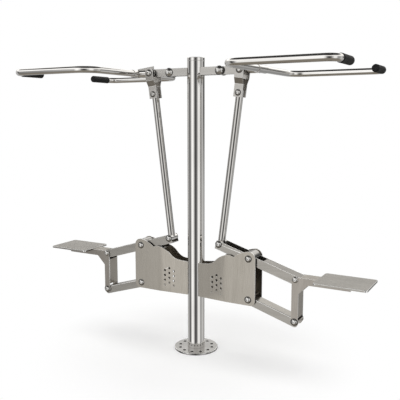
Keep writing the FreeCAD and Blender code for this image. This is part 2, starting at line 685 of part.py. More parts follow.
def handle_bushes():
    """The flanged sleeves at the handle's pivot and in its eye."""
    pivot = bush(HUB_BORE_R - WELD_GAP, HANDLE_BOLT_R + RUN_CLEAR, PIVOT_BUSH_LENGTH, BUSH_FLANGE_R,
                 PIVOT_BUSH_FLANGE, ARM_HALF)
    eye = bush(EYE_BORE_R - WELD_GAP, BOLT_R + EYE_PLAY, EYE_BUSH_LENGTH, EYE_BUSH_FLANGE_R,
               EYE_BUSH_FLANGE, EYE_HALF)
    solids = [placed(one, 0, HANDLE_PIVOT_X, HANDLE_Z) for one in both_y(pivot)]
    solids += [placed(one, 0, FORK_PIN_X, HANDLE_Z) for one in both_y(eye)]
    return group(solids)


def joint_spaces():
    """The spaces of the eye and the sleeve, with the weld gap round them."""
    return [rod_y(EYE_R + WELD_GAP, -EYE_HALF, EYE_HALF, FORK_PIN_X, HANDLE_Z),
            rod_y(SLEEVE_R + WELD_GAP, -SLEEVE_HALF, SLEEVE_HALF, CROSSBAR_X, HANDLE_Z)]


def handle_stub():
    """The short tube from the eye to the crossbar's sleeve."""
    length = CROSSBAR_X - FORK_PIN_X
    start = V(FORK_PIN_X, 0, HANDLE_Z)
    outer = Part.makeCylinder(STUB_R, length, start, X_AXIS)
    inside = Part.makeCylinder(STUB_R - STUB_WALL, length, start, X_AXIS)
    return outer.cut([inside] + joint_spaces())


def handle_rib():
    """The upright rib welded along the top of the eye, the stub and the sleeve."""
    points = [
        (FORK_PIN_X - RIB_START, HANDLE_Z),
        (FORK_PIN_X - RIB_START, HANDLE_Z + RIB_RISE),
        (CROSSBAR_X, HANDLE_Z + RIB_RISE - RIB_DROP),
        (CROSSBAR_X, HANDLE_Z),
    ]
    plate = prism_y(outline(points), -RIB_THICK / 2, RIB_THICK / 2)
    stub = Part.makeCylinder(STUB_R + WELD_GAP, CROSSBAR_X - FORK_PIN_X, V(FORK_PIN_X, 0, HANDLE_Z), X_AXIS)
    return plate.cut([stub] + joint_spaces())


def handle_sleeve():
    """The sleeve round the middle of the crossbar."""
    return tube_y(SLEEVE_R, TUBE_R + WELD_GAP, -SLEEVE_HALF, SLEEVE_HALF, CROSSBAR_X, HANDLE_Z)


def handle_path():
    """The bent tube's centre line: grip end, side, crossbar, side, grip end."""
    end = GRIP_FREE_END + GRIP_END_WALL
    side = HANDLE_HALF
    turn = side - BEND_R
    end_turn = side - END_BEND_R
    inset = BEND_R * (1 - math.sqrt(0.5))
    end_inset = END_BEND_R * (1 - math.sqrt(0.5))

    def point(x, y):
        return V(x, y, HANDLE_Z)

    def bend(a, b, c):
        return Part.Arc(point(*a), point(*b), point(*c)).toShape()

    def run(a, b):
        return Part.LineSegment(point(*a), point(*b)).toShape()

    edges = [run((CROSSBAR_X, -turn), (CROSSBAR_X, turn))]
    for s in (-1, 1):
        out_low = (GRIP_X - END_BEND_R, s * side)
        in_low = (CROSSBAR_X + BEND_R, s * side)
        edges += [
            run((GRIP_X, s * end), (GRIP_X, s * end_turn)),
            bend((GRIP_X, s * end_turn), (GRIP_X - end_inset, s * (side - end_inset)), out_low),
            run(out_low, in_low),
            bend(in_low, (CROSSBAR_X + inset, s * (side - inset)), (CROSSBAR_X, s * turn)),
        ]
    return Part.Wire(Part.__sortEdges__(edges)), point(GRIP_X, -end)


def handle_tube():
    """The one bent tube that both hands pull on."""
    path, start = handle_path()
    pipes = []
    for radius in (TUBE_R, TUBE_R - TUBE_WALL):
        ring = Part.Wire(Part.Circle(start, Y_AXIS, radius).toShape())
        pipes.append(path.makePipeShell([ring], True, True))
    return pipes[0].cut(pipes[1])


def handle_grip():
    """The front rubber grip: a sleeve with a rounded closed end."""
    outer_r = TUBE_R + WELD_GAP + GRIP_WALL
    body = rod_y(outer_r, -GRIP_RIM, -GRIP_FREE_END, GRIP_X, HANDLE_Z)
    nose = [e for e in body.Edges if abs(e.BoundBox.YMin + GRIP_FREE_END) < SAME]
    body = body.makeFillet(GRIP_NOSE_R, nose)
    rim = [e for e in body.Edges if abs(e.BoundBox.YMax + GRIP_RIM) < SAME]
    body = body.makeFillet(GRIP_RIM_R, rim)
    return body.cut(rod_y(TUBE_R + WELD_GAP, -GRIP_RIM, -GRIP_FREE_END - GRIP_END_WALL, GRIP_X, HANDLE_Z))


def station():
    """The right station's nodes, by name."""
    return {
        "wing_plate_front": wing_plate(),
        "wing_plate_back": wing_plate().mirror(ORIGIN, Y_AXIS),
        "lever_channel": lever_channel(),
        "lever_hubs": lever_hubs(),
        "lever_bushes": pivot_bushes(LEVER_PIVOT_Z),
        "lever_bolts": lever_bolts(),
        "guide_channel": guide_channel(),
        "guide_hubs": guide_hubs(),
        "guide_bushes": pivot_bushes(GUIDE_PIVOT_Z),
        "seat_bolt": seat_bolt(),
        "seat_bracket_plates": group(both_y(seat_bracket_plate())),
        "seat_bracket_webs": seat_bracket_webs(),
        "seat_plate": seat_plate(),
        "rod_tube": rod_tube(),
        "rod_foot": rod_foot(),
        "rod_fork_plates": group(both_y(rod_fork_plate())),
        "rod_fork_bolts": rod_fork_bolts(),
        "handle_arm": handle_arm(),
        "handle_hubs": handle_hubs(),
        "handle_bushes": handle_bushes(),
        "handle_stub": handle_stub(),
        "handle_rib": handle_rib(),
        "handle_sleeve": handle_sleeve(),
        "handle_tube": handle_tube(),
        "handle_grips": group(both_y(handle_grip())),
    }


def shared():
    """The nodes of the fixed frame that both stations share, by name."""
    def both_x(solids):
        return group(solids + [solid.mirror(ORIGIN, X_AXIS) for solid in solids])

    return {
        "base_flange": base_flange(),
        "base_collar": base_collar(),
        "post": post(),
        "post_cap": post_cap(),
        "wing_pivot_bolts": both_x(wing_pivot_bolts()),
        "arm_cheeks": both_x(both_y(arm_cheek())),
        "handle_pivot_bolts": both_x([handle_pivot_bolt()]),
        "stop_bars": both_x([stop_bar()]),
        "stop_pads": both_x([stop_pad()]),
    }


def main():
    """Build every node and write it to its own file."""
    os.makedirs("parts", exist_ok=True)
    nodes = shared()
    for name, shape in station().items():
        nodes[name + "_right"] = shape
        nodes[name + "_left"] = shape.mirror(ORIGIN, X_AXIS)
    for name, shape in nodes.items():
        shape.exportStep("parts/" + name + ".step")
        print(name, len(shape.Solids), round(shape.Volume / 1000, 1), shape.isValid())


main()
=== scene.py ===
"""Looks of a twin-station outdoor lat pulldown machine in stainless steel.

Plates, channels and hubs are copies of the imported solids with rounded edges. The bent tubes, grips,
washers and weld beads are surfaces worked out on grids. Finishes are nodes on object coordinates.

Metres, +Z up, +Y away from the front, origin on the ground at the post's axis.
"""
from __future__ import annotations

import json
import logging
import math
from dataclasses import dataclass, field
from enum import Enum

import bmesh
import bpy
import numpy as np
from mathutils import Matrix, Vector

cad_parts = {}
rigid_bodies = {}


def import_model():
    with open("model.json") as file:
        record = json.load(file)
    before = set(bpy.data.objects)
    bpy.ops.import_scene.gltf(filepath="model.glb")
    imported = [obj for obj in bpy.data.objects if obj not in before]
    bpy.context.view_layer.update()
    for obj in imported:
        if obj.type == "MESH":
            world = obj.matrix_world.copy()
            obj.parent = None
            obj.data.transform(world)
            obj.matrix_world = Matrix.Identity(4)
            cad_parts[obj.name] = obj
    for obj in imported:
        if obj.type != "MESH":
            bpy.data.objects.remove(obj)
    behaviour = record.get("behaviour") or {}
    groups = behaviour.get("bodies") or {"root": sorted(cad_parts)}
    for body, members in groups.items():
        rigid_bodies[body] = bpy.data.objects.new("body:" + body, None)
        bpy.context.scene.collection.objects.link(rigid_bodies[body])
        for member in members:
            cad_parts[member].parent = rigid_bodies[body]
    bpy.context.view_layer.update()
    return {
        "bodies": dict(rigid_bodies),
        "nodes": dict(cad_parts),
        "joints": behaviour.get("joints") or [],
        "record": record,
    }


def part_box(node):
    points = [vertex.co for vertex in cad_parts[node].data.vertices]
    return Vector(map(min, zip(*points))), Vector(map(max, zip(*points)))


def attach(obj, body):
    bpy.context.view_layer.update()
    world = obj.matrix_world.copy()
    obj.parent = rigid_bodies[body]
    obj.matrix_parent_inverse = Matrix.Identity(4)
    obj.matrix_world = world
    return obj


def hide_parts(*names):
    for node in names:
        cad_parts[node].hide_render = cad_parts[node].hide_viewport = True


Array = np.ndarray
Range = tuple[float, float]
Tint = tuple[float, float, float]
Piece = bpy.types.Object
Mesh = bpy.types.Mesh
Material = bpy.types.Material
Node = bpy.types.Node
Socket = bpy.types.NodeSocket

LOG = logging.getLogger("lat_pulldown")
MM = 0.001
FULL_TURN = 2 * np.pi
WHITE = (1.0, 1.0, 1.0, 1.0)
EVEN = (1.0, 1.0, 1.0)
X_AXIS, Y_AXIS, Z_AXIS = np.eye(3)


class Mirrored(Enum):
    """The members of a mirrored pair, each with the sign of its coordinate."""

    def of(self, stem: str) -> str:
        """A name that ends in the member's own word."""
        return f"{stem}_{self.name.lower()}"


class Side(Mirrored):
    """The two stations, with the sign of their X."""

    LEFT = -1
    RIGHT = 1


class Facing(Mirrored):
    """The front and the back, with the sign of their Y."""

    FRONT = -1
    BACK = 1


class Slot(Enum):
    """The record's material slots."""

    SATIN = "satin_steel"
    POLISHED = "polished_steel"
    BOLT = "bolt_steel"
    RUBBER = "black_rubber"


class Follow(Enum):
    """What a pattern follows: the object's own axes, or a tube's centre line."""

    OBJECT = "object"
    TUBE = "along_tube"


class Graph:
    """A node tree under construction."""

    def __init__(self, tree: bpy.types.NodeTree, output: str) -> None:
        """Empty a tree and give it an output.

        Args:
            tree: The material's or the world's tree.
            output: The output node's type name.
        """
        self.tree = tree
        self.tree.nodes.clear()
        self.output = self.add(output)

    def add(self, kind: str, **values: object) -> Node:
        """Add a node with its options and inputs.

        Args:
            kind: The node's type name, without its first words.
            values: Options in small letters, and inputs with a capital and _ for a space.

        Returns:
            The new node.
        """
        node = self.tree.nodes.new("ShaderNode" + kind)
        for name, value in values.items():
            if name.islower():
                setattr(node, name, value)
            else:
                self.plug(node.inputs[name.replace("_", " ")], value)
        return node

    def plug(self, target: Socket, value: object) -> None:
        """Link a socket to an input, or set a plain value on it.

        Args:
            target: The input.
            value: The socket or the plain value.
        """
        if isinstance(value, Socket):
            self.tree.links.new(value, target)
        else:
            target.default_value = value

    def place(self, scale: Tint = EVEN, follow: Follow = Follow.OBJECT, turn: float = 0.0) -> Socket:
        """Coordinates stretched along their axes.

        Args:
            scale: Factor along each axis.
            follow: Object axes or a tube's centre line.
            turn: Turn about Z in degrees, before the stretch.

        Returns:
            The vector socket.
        """
        if follow is Follow.TUBE:
            source = self.add("Attribute", attribute_name=follow.value).outputs["Vector"]
        else:
            source = self.add("TexCoord").outputs["Object"]
        about_z, size = (0.0, 0.0, math.radians(turn)), [1 / x for x in scale]
        node = self.add("Mapping", vector_type="TEXTURE", Vector=source, Rotation=about_z, Scale=size)
        return node.outputs["Vector"]

    def noise(self, vector: Socket, scale: float, detail: float = 3.0) -> Socket:
        """Soft noise from 0 to 1, read at a vector, by its frequency and its finer octaves."""
        return self.add("TexNoise", Vector=vector, Scale=scale, Detail=detail).outputs["Fac"]

    def spread(self, value: Socket, source: Range, target: Range = (0.0, 1.0)) -> Socket:
        """A value mapped from its source range to its target in a smooth step, held at the ends."""
        limits = dict(zip(("From_Min", "From_Max", "To_Min", "To_Max"), (*source, *target)))
        return self.add("MapRange", interpolation_type="SMOOTHSTEP", Value=value, **limits).outputs["Result"]

    def math(self, operation: str, first: Socket, second: Socket | float = 0.0) -> Socket:
        """A sum, product or other operation on one or two values.

        Args:
            operation: The operation's name.
            first: The first value.
            second: The second value.

        Returns:
            The result socket.
        """
        node = self.add("Math", operation=operation)
        self.plug(node.inputs[0], first)
        self.plug(node.inputs[1], second)
        return node.outputs["Value"]

    def blend(self, share: Socket, first: Socket | Tint, second: Socket | Tint) -> Socket:
        """A colour between two others.

        Args:
            share: 0 for the first, 1 for the second.
            first: A colour socket or a plain tint.
            second: A colour socket or a plain tint.

        Returns:
            The colour socket.
        """
        node = self.add("Mix", data_type="RGBA", Factor=share)
        targets = [x for x in node.inputs if x.type == "RGBA"]
        for target, colour in zip(targets, (first, second)):
            self.plug(target, colour if isinstance(colour, Socket) else (*colour, 1.0))
        return next(x for x in node.outputs if x.type == "RGBA")

    def join(self, node: Node, *shaders: Node) -> Node:
        """Lead two shaders into a node that mixes or adds them.

        Args:
            node: The node, whose last two inputs take them.
            shaders: The first and the second shader.

        Returns:
            The same node.
        """
        for target, shader in zip(node.inputs[-2:], shaders):
            self.plug(target, shader.outputs[0])
        return node

    def relief(self, height: Socket, distance: float) -> Socket:
        """The normal of a shallow relief, from its shape of 0 to 1 and its height in metres."""
        return self.add("Bump", Height=height, Distance=distance).outputs["Normal"]

    def eye(self) -> Socket:
        """1 where the camera looks straight at a surface or through a clear one, and 0 elsewhere."""
        path = self.add("LightPath").outputs
        return self.math("MAXIMUM", path["Is Camera Ray"], path["Is Transmission Ray"])

    def surface(self, shader: Node) -> None:
        """Send a shader to the surface."""
        self.plug(self.output.inputs["Surface"], shader.outputs[0])

    def coat(self, **values: object) -> None:
        """Send a principled shader with these inputs to the surface."""
        self.surface(self.add("BsdfPrincipled", **values))


@dataclass(frozen=True)
class Finish:
    """A finish by name, which becomes a node material."""

    name: str

    def material(self) -> Material:
        """Build the node material.

        Returns:
            The material.
        """
        material = bpy.data.materials.new(self.name)
        material.use_nodes = True
        self.fill(Graph(material.node_tree, "OutputMaterial"))
        return material

    def fill(self, graph: Graph) -> None:
        """Put the finish's nodes into its material's graph."""
        raise NotImplementedError(self.name)


NOISE_CORE = (0.3, 0.7)


@dataclass(frozen=True)
class Steel(Finish):
    """A stainless finish: cloudy, streaked tint, directional grain, fine scratches, shallow relief.

    The grain is noise drawn out along the brushing, and the streaks are the same, broader. Roughness
    runs with the grain and rises in the clouds and along the scratches.
    """

    dark: Tint
    light: Tint
    gloss: Range
    grain: Tint
    relief: float
    scratch: float = 0.06
    follow: Follow = Follow.OBJECT
    cloud: float = 5.0
    streak: float = 0.06
    mottled: Range = (0.36, 0.64)
    hazy: Range = (0.35, 0.75)
    haze: float = 0.4
    scratched: Range = (0.66, 0.74)
    scratch_scale: float = 0.35
    scratch_turn: float = 33.0

    def fill(self, graph: Graph) -> None:
        """Put in the steel's nodes.

        Args:
            graph: The graph.
        """
        brushed = graph.place(self.grain, self.follow)
        clouds = graph.noise(graph.place(follow=self.follow), self.cloud, detail=4.0)
        grain = graph.noise(brushed, 1.0, detail=2.0)
        streaks = graph.noise(brushed, self.streak)
        across = (self.grain[0], self.grain[2], self.grain[1])
        crossed = graph.place(across, self.follow, self.scratch_turn)
        lines = graph.noise(crossed, self.scratch_scale, detail=6.0)
        scratches = graph.spread(lines, self.scratched, (0.0, self.scratch))
        mottle = graph.math("MULTIPLY", graph.math("ADD", clouds, streaks), 0.5)
        sheen = graph.math("ADD", graph.spread(grain, NOISE_CORE, self.gloss), scratches)
        haze = graph.spread(clouds, self.hazy, (0.0, self.haze * (self.gloss[1] - self.gloss[0])))
        graph.coat(
            Base_Color=graph.blend(graph.spread(mottle, self.mottled), self.dark, self.light),
            Metallic=1.0,
            Roughness=graph.math("ADD", sheen, haze),
            Normal=graph.relief(grain, self.relief),
        )


@dataclass(frozen=True)
class Weld(Finish):
    """A weld bead: bright ripples with straw and blue-grey heat tint in soft patches."""

    straw: Tint
    grey: Tint
    gloss: Range
    patch: float = 60.0
    patched: Range = (0.35, 0.65)
    pit: float = 900.0
    pit_depth: float = 0.05 * MM

    def fill(self, graph: Graph) -> None:
        """Put in the bead's nodes.

        Args:
            graph: The graph.
        """
        patches = graph.noise(graph.place(), self.patch, detail=2.0)
        pits = graph.noise(graph.place(), self.pit, detail=1.0)
        graph.coat(
            Base_Color=graph.blend(graph.spread(patches, self.patched), self.straw, self.grey),
            Metallic=1.0,
            Roughness=graph.spread(pits, NOISE_CORE, self.gloss),
            Normal=graph.relief(pits, self.pit_depth),
        )


@dataclass(frozen=True)
class Moulded(Finish):
    """A black moulded finish: fine grain in the relief, dusty patches in tint and gloss."""

    dark: Tint
    dusty: Tint
    gloss: Range
    grain: float
    relief: float
    dust: float = 22.0
    dusted: Range = (0.4, 0.75)
    shine: float = 0.3

    def fill(self, graph: Graph) -> None:
        """Put in the moulding's nodes.

        Args:
            graph: The graph.
        """
        dust = graph.noise(graph.place(), self.dust, detail=4.0)
        grain = graph.noise(graph.place(), self.grain, detail=2.0)
        graph.coat(
            Base_Color=graph.blend(graph.spread(dust, self.dusted), self.dark, self.dusty),
            Roughness=graph.spread(dust, NOISE_CORE, self.gloss),
            Normal=graph.relief(grain, self.relief),
            Specular_IOR_Level=self.shine,
        )


def made(finish: Finish) -> Material:
    """A field of the palette that holds a finish's material, built along with the palette."""
    return field(default_factory=finish.material)


BRUSHED_UP = (500, 300, 14)
BRUSHED_ALONG = (14, 500, 500)
DRAWN_UP = (300, 300, 10)
DRAWN_ALONG = (10, 300, 300)
DRAWN_ACROSS = (240, 10, 240)
FINE = (240, 240, 240)
TURNED = (90, 90, 90)
CUT = (60, 60, 60)
MIRROR = (0.04, 0.09)


@dataclass
class Palette:
    """Every finish of the machine, made once."""

    plate: Material = made(Steel(
        "satin_plate", (0.385, 0.357, 0.312), (0.435, 0.405, 0.357), (0.24, 0.34), BRUSHED_UP, 0.010 * MM))
    arm: Material = made(Steel(
        "satin_arm", (0.33, 0.314, 0.286), (0.38, 0.363, 0.333), (0.22, 0.32), BRUSHED_ALONG, 0.010 * MM))
    # painted shade: a darker copy of the arm steel for the lever's let-in top and floor, the faces that look
    # up
    lid_painted_shade: Material = made(Steel(
        "shaded_lid", (0.17, 0.16, 0.146), (0.225, 0.213, 0.196), (0.16, 0.26), BRUSHED_ALONG, 0.005 * MM))
    head: Material = made(Steel(
        "satin_head", (0.44, 0.425, 0.40), (0.51, 0.495, 0.47), (0.22, 0.32), BRUSHED_ALONG, 0.010 * MM))
    bracket: Material = made(Steel(
        "satin_bracket", (0.32, 0.294, 0.262), (0.37, 0.342, 0.308), (0.24, 0.34), BRUSHED_UP, 0.010 * MM))
    flange: Material = made(Steel(
        "fine_flange", (0.28, 0.276, 0.268), (0.33, 0.325, 0.316), (0.10, 0.16), TURNED, 0.002 * MM))
    # painted shade: near-black steel on the walls of the foot plate's bolt holes, where shade falls
    bore_painted_shade: Material = made(Steel(
        "stained_bore", (0.03, 0.028, 0.026), (0.06, 0.056, 0.052), (0.4, 0.5), TURNED, 0.004 * MM))
    # painted highlight: a much brighter steel for cut and rounded edges, standing in for the light that
    # edges catch
    edge: Material = made(Steel(
        "bright_edge", (0.80, 0.79, 0.77), (0.88, 0.87, 0.85), (0.12, 0.20), CUT, 0.003 * MM))
    polished: Material = made(Steel(
        "polished_steel", (0.70, 0.685, 0.66), (0.78, 0.765, 0.74), MIRROR, DRAWN_UP, 0.001 * MM, 0.04))
    # painted shade: a darker copy of the polished steel for the hubs, standing in for dark reflections
    hub_painted_shade: Material = made(Steel(
        "dark_hub", (0.29, 0.28, 0.265), (0.35, 0.34, 0.325), (0.06, 0.12), DRAWN_ACROSS, 0.001 * MM, 0.04))
    tube: Material = made(Steel(
        "polished_tube", (0.70, 0.685, 0.66), (0.78, 0.765, 0.74), MIRROR, DRAWN_ALONG, 0.001 * MM, 0.04,
        Follow.TUBE))
    # painted shade: a darker copy of the polished steel for the rods, standing in for dark reflections
    rod: Material = made(Steel(
        "polished_rod", (0.56, 0.545, 0.52), (0.63, 0.615, 0.59), (0.02, 0.05), DRAWN_UP, 0.0005 * MM, 0.02))
    bolt: Material = made(Steel(
        "bolt_steel", (0.56, 0.55, 0.53), (0.68, 0.67, 0.65), MIRROR, FINE, 0.001 * MM, 0.03))
    # painted shade: near-black steel for the washers, standing in for the shadow ring round each bolt head
    washer: Material = made(Steel(
        "washer_steel", (0.09, 0.088, 0.085), (0.15, 0.146, 0.14), (0.18, 0.28), FINE, 0.002 * MM, 0.03))
    weld: Material = made(Weld("weld_bead", (0.50, 0.46, 0.41), (0.50, 0.50, 0.50), (0.22, 0.36)))
    rubber: Material = made(Moulded(
        "grip_rubber", (0.004, 0.004, 0.004), (0.009, 0.009, 0.009), (0.50, 0.66), 1400.0, 0.05 * MM))
    polymer: Material = made(Moulded(
        "bush_polymer", (0.008, 0.008, 0.009), (0.018, 0.018, 0.018), (0.38, 0.50), 900.0, 0.02 * MM))


def shown(name: str, data: bpy.types.ID) -> Piece:
    """A new object at the scene's origin, from a mesh, a camera or a lamp."""
    bpy.context.scene.collection.objects.link(piece := bpy.data.objects.new(name, data))
    return piece


def read(items: bpy.types.bpy_prop_collection, name: str, width: int = 1, kind: type = np.float32) -> Array:
    """A property of a mesh's points, edges, corners or faces, in rows, or flat where the width is 1."""
    items.foreach_get(name, values := np.empty(len(items) * width, kind))
    return values.reshape(-1, width) if width > 1 else values


def recoat(mesh: Mesh, chosen: Array, finish: Material) -> None:
    """Give some faces of a mesh one more finish.

    Args:
        mesh: The mesh.
        chosen: True for each face that gets it.
        finish: The material.
    """
    index = read(mesh.polygons, "material_index", kind=np.int32)
    index[chosen] = len(mesh.materials)
    mesh.materials.append(finish)
    mesh.polygons.foreach_set("material_index", index)


def cut_edges(mesh: Mesh, sheet: float) -> Array:
    """The cut edges of a sheet part: faces whose mean width is under the sheet's thickness.

    The mean width is twice the area over the perimeter.

    Args:
        mesh: The mesh of the part.
        sheet: The thickest sheet in it.

    Returns:
        True for each face that is a cut edge.
    """
    ends = read(mesh.vertices, "co", 3)[read(mesh.edges, "vertices", 2, np.int32)]
    span = np.linalg.norm(ends[:, 1] - ends[:, 0], axis=1)
    used = read(mesh.loops, "edge_index", kind=np.int32)
    first = read(mesh.polygons, "loop_start", kind=np.int32)
    return 2 * read(mesh.polygons, "area") / np.add.reduceat(span[used], first) < sheet


def skin(name: str, points: Array, looped: bool = False, straight: Array | None = None) -> Piece:
    """A smooth closed mesh over a grid of rings, with its faces turned outwards.

    Its faces are quads between neighbouring rings, and a flat cap at each free end.

    Args:
        name: The piece's name.
        points: Rings by sides by three.
        looped: Whether the last ring joins the first.
        straight: The same grid as if the tube were straight, kept for patterns that follow it.

    Returns:
        The new object.
    """
    grid = np.arange(points[..., 0].size).reshape(points.shape[:2])
    here = grid if looped else grid[:-1]
    ahead = np.roll(grid, -1, axis=0) if looped else grid[1:]
    quads = np.stack([here, np.roll(here, -1, axis=1), np.roll(ahead, -1, axis=1), ahead], axis=-1)
    caps = [] if looped else [grid[0, ::-1].tolist(), grid[-1].tolist()]
    mesh = bpy.data.meshes.new(name)
    mesh.from_pydata(points.reshape(-1, 3), [], quads.reshape(-1, 4).tolist() + caps)
    if straight is not None:
        kept = mesh.attributes.new(Follow.TUBE.value, "FLOAT_VECTOR", "POINT")
        kept.data.foreach_set("vector", straight.astype(np.float32).ravel())
    turned = bmesh.new()
    turned.from_mesh(mesh)
    bmesh.ops.recalc_face_normals(turned, faces=turned.faces)
    turned.to_mesh(mesh)
    turned.free()
    mesh.shade_smooth()
    mesh.set_sharp_from_angle(angle=math.radians(50))
    return shown(name, mesh)


def carried(path: Array, up: Array, profile: Array, looped: bool = False) -> Array:
    """A flat profile carried along a path.

    A point is path + a * side + b * lift, with side = tangent x up and lift = side x tangent.

    Args:
        path: Points of the centre line.
        up: A direction that is never along the path.
        profile: Sides by two, or rings by sides by two, as (a, b).
        looped: Whether the path is closed.

    Returns:
        Rings by sides by three.
    """
    if looped:
        tangent = np.roll(path, -1, axis=0) - np.roll(path, 1, axis=0)
    else:
        tangent = np.gradient(path, axis=0)
    tangent /= np.linalg.norm(tangent, axis=1, keepdims=True)
    side = np.cross(tangent, up)
    side /= np.linalg.norm(side, axis=1, keepdims=True)
    lift = np.cross(side, tangent)
    rings = np.broadcast_to(profile, (len(path), *profile.shape[-2:]))
    return path[:, None] + rings[..., :1] * side[:, None] + rings[..., 1:] * lift[:, None]


def circle(radius: float | Array, sides: int) -> Array:
    """Points (radius cos t, radius sin t) for t round a turn, with one radius or one per ring."""
    turn = np.linspace(0.0, FULL_TURN, sides, endpoint=False)
    return np.asarray(radius)[..., None, None] * np.stack([np.cos(turn), np.sin(turn)], axis=-1)


def lathed(radius: Array, along: Array, sides: int) -> Array:
    """A profile turned about Y: rings of points (radius cos t, along, radius sin t)."""
    ring = circle(radius, sides)
    return np.stack([ring[..., 0], np.broadcast_to(along[:, None], ring.shape[:2]), ring[..., 1]], axis=-1)


def lengths(path: Array) -> Array:
    """The distance along a path at each of its points."""
    steps = np.linalg.norm(np.diff(path, axis=0), axis=1)
    return np.concatenate([[0.0], np.cumsum(steps)])


def rounded_route(corners: Array, radii: list[float], step: float) -> Array:
    """A route through corners with an arc of its own radius at each inner one.

    The arc's centre lies on the bisector, and it starts radius * tan(turn / 2) before the corner.

    Args:
        corners: The route's corners.
        radii: One radius for each corner but the first and last.
        step: The turn between points of an arc, in radians.

    Returns:
        The points of the route.
    """
    runs = np.diff(corners, axis=0)
    ways = runs / np.linalg.norm(runs, axis=1, keepdims=True)
    parts = [corners[:1]]
    for corner, before, after, radius in zip(corners[1:-1], ways, ways[1:], radii):
        turn = math.acos(before @ after)
        start = corner - before * radius * math.tan(turn / 2)
        inward = after - before * (before @ after)
        inward /= np.linalg.norm(inward)
        angle = np.linspace(0.0, turn, max(3, round(turn / step)))[:, None]
        parts.append(start + radius * (np.sin(angle) * before + (1 - np.cos(angle)) * inward))
    return np.concatenate([*parts, corners[-1:]])


@dataclass(frozen=True)
class Bead:
    """A weld bead: a round section that swells and pinches in even ripples along the seam.

    Its radius is radius * (1 + ripple * cos(2 pi s / pitch)) at the distance s along the seam.
    """

    radius: float = 1.8 * MM
    ripple: float = 0.16
    pitch: float = 3.6 * MM
    steps: int = 6
    sides: int = 10

    def along(self, name: str, seam: Array, up: Array, looped: bool) -> Piece:
        """Lay the bead on a seam.

        Args:
            name: The piece's name.
            seam: Points of the seam, close enough to give its shape.
            up: A direction that is never along the seam.
            looped: Whether the seam is closed.

        Returns:
            The new object.
        """
        route = np.concatenate([seam, seam[:1]]) if looped else seam
        far = lengths(route)
        ripples = max(2, round(far[-1] / self.pitch))
        even = np.linspace(0.0, far[-1], ripples * self.steps + 1)
        path = np.stack([np.interp(even, far, route[:, i]) for i in range(3)], axis=-1)
        radius = self.radius * (1 + self.ripple * np.cos(FULL_TURN * ripples * even / far[-1]))
        if looped:
            path, radius = path[:-1], radius[:-1]
        return skin(name, carried(path, up, circle(radius, self.sides), looped), looped)


@dataclass(frozen=True)
class Washer:
    """A flat washer with chamfered edges that shows round a bolt's head."""

    proud: float = 4.6 * MM
    thick: float = 1.6 * MM
    chamfer: float = 0.4 * MM
    bore_share: float = 0.75
    sides: int = 64

    def section(self, head: float) -> Array:
        """Radii and heights of the closed section, for the radius of a bolt's head."""
        inner, outer, cut, top = self.bore_share * head, head + self.proud, self.chamfer, self.thick
        return np.array([[inner, outer, outer, outer - cut, inner], [0.0, 0.0, top - cut, top, top]])


